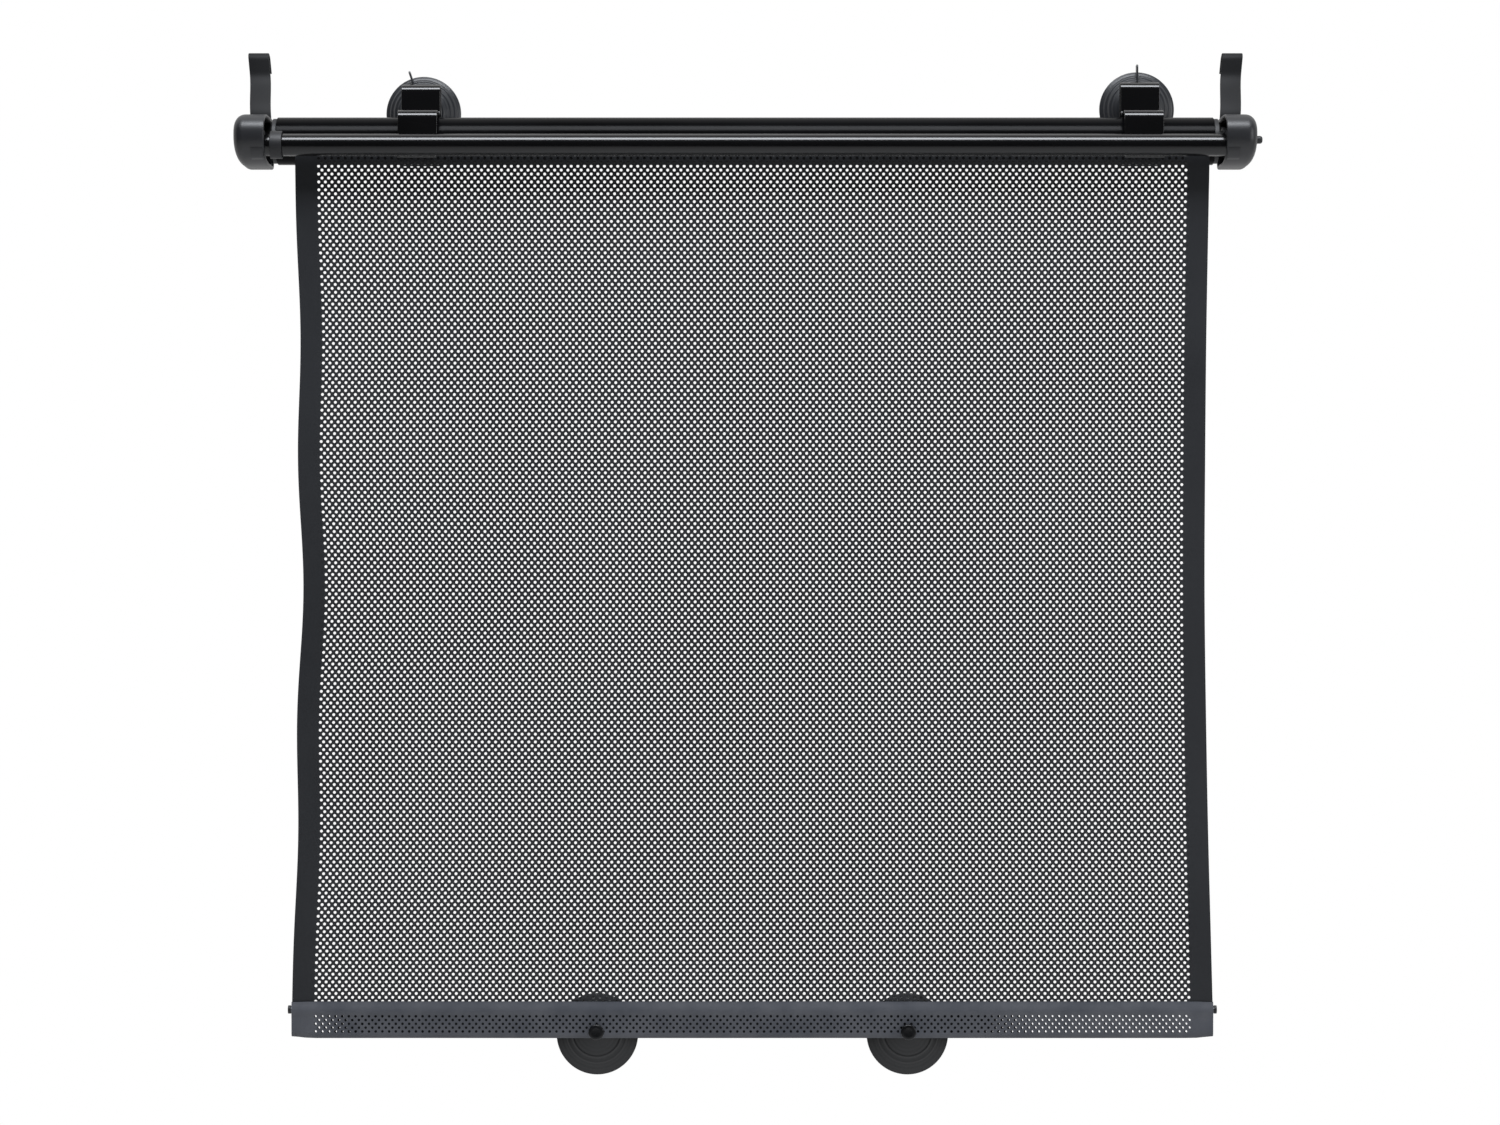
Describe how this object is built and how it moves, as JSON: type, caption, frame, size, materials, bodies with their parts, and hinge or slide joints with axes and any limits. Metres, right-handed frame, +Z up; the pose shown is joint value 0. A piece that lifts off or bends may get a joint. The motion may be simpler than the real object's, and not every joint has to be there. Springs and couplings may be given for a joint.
{
  "type": "roller sunshade for a car side window",
  "caption": "Spring roller sunshade for a car side window: perforated film drawn from a roller, with hanging hooks, suction cups and a release button.",
  "frame": {"origin": "on the plane of the window glass, midway between the end caps, at the height of the roller's axis", "axes": "+X along the roller towards the release button, +Y towards the window glass, +Z up"},
  "size_m": [0.5588, 0.0656, 0.5672],
  "materials": {
    "cap_plastic": "soft-sheen moulded black",
    "rail_gloss": "very glossy black",
    "roller_paint": "smooth satin black paint",
    "plug_plastic": "matt black",
    "hook_plastic": "flat matt black",
    "clip_gloss": "glossy black bent strip",
    "cup_rubber": "smooth dark grey soft vinyl",
    "film": "perforated black film with a satin sheen",
    "steel": "plain steel wire and rod",
    "button_plastic": "satin black"
  },
  "bodies": {
    "frame": {"left_end_cap": "cap_plastic", "right_end_cap": "cap_plastic", "front_rail": "rail_gloss", "rail_collar": "plug_plastic", "idle_axle": "steel", "spring_mandrel": "steel", "roller_spring": "steel", "button_spring": "steel", "left_hanging_hook": "hook_plastic", "right_hanging_hook": "hook_plastic", "shade_film": "film"},
    "roller": {"roller_tube": "roller_paint", "idle_plug": "plug_plastic", "ratchet_plug": "plug_plastic", "spring_anchor": "plug_plastic"},
    "button": {"release_button": "button_plastic", "lock_pawl": "steel"},
    "left_clip": {"left_rail_clip": "clip_gloss"},
    "right_clip": {"right_rail_clip": "clip_gloss"},
    "upper_cup_left": {"upper_left_cup": "cup_rubber"},
    "upper_cup_right": {"upper_right_cup": "cup_rubber"},
    "hem": {"hem_pocket": "film", "hem_rod": "steel", "left_rod_tip": "plug_plastic", "right_rod_tip": "plug_plastic"},
    "lower_cup_left": {"lower_left_cup": "cup_rubber"},
    "lower_cup_right": {"lower_right_cup": "cup_rubber"}
  },
  "joints": [
    {"name": "curtain_pull", "type": "slide", "parent": "frame", "child": "hem", "axis": [0, -0.0553, 0.9985], "range_m": [0, 0.45], "deforming": ["shade_film"]},
    {"name": "roller_spin", "type": "hinge", "parent": "frame", "child": "roller", "pos_m": [0, -0.027, 0], "axis": [1, 0, 0], "range_deg": [-1912, 0]},
    {"name": "button_press", "type": "slide", "parent": "frame", "child": "button", "axis": [-1, 0, 0], "range_m": [0, 0.0025], "stiffness_N_per_m": 300, "springref_m": -0.004, "deforming": ["button_spring"]},
    {"name": "left_clip_slide", "type": "slide", "parent": "frame", "child": "left_clip", "axis": [1, 0, 0], "range_m": [-0.058, 0.15]},
    {"name": "right_clip_slide", "type": "slide", "parent": "frame", "child": "right_clip", "axis": [1, 0, 0], "range_m": [-0.19, 0.02]},
    {"name": "upper_left_cup_turn", "type": "hinge", "parent": "left_clip", "child": "upper_cup_left", "pos_m": [-0.1785, 0, 0.0181], "axis": [0, 1, 0], "continuous": true},
    {"name": "upper_right_cup_turn", "type": "hinge", "parent": "right_clip", "child": "upper_cup_right", "pos_m": [0.217, 0, 0.0206], "axis": [0, 1, 0], "continuous": true},
    {"name": "lower_left_cup_turn", "type": "hinge", "parent": "hem", "child": "lower_cup_left", "pos_m": [-0.0822, 0, -0.4892], "axis": [0, 1, 0], "continuous": true},
    {"name": "lower_right_cup_turn", "type": "hinge", "parent": "hem", "child": "lower_cup_right", "pos_m": [0.0898, 0, -0.4892], "axis": [0, 1, 0], "continuous": true}
  ],
  "couplings": [
    {"joint": "roller_spin", "follows": "curtain_pull", "rad_per_m": -74.074}
  ]
}
